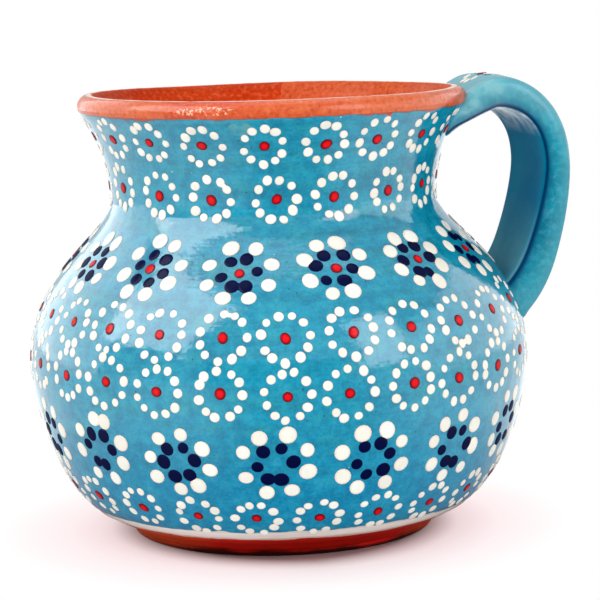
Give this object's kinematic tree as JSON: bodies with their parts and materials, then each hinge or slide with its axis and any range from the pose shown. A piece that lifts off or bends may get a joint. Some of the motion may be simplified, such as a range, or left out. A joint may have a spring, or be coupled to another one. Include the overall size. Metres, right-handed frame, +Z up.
{
  "type": "jarrito mug",
  "caption": "Round-bellied clay mug with a flared lip and one strap handle, coated in blue slip and dotted with ring and flower rosettes.",
  "frame": {"origin": "centre of the foot, on the plane that the mug stands on and on the axis that the vessel was turned about", "axes": "+Z up along the vessel's axis, +X towards the handle, which lies in the XZ plane"},
  "size_m": [0.1146, 0.1056, 0.0945],
  "materials": {
    "terracotta": "bare fired clay, low sheen",
    "clear_glazed_terracotta": "clear glossy glaze over orange-red clay",
    "blue_slip": "blue slip under clear glossy glaze",
    "cream_slip": "cream slip under clear glossy glaze",
    "white_slip": "white slip under clear glossy glaze",
    "navy_slip": "navy slip under clear glossy glaze",
    "red_slip": "red slip under clear glossy glaze"
  },
  "bodies": {
    "root": {"vessel": "terracotta", "handle": "terracotta", "body_slip": "blue_slip", "cream_band": "cream_slip", "handle_slip": "blue_slip", "inside_glaze": "clear_glazed_terracotta", "neck_upper_rings": "white_slip", "neck_lower_rings": "white_slip", "shoulder_flower_petals": "white_slip", "shoulder_flower_navy": "navy_slip", "belly_upper_rings": "white_slip", "belly_lower_rings": "white_slip", "low_flower_petals": "white_slip", "low_flower_navy": "navy_slip", "base_rings": "white_slip", "handle_rings": "white_slip", "red_centres": "red_slip", "handle_red_centres": "red_slip"}
  },
  "joints": []
}
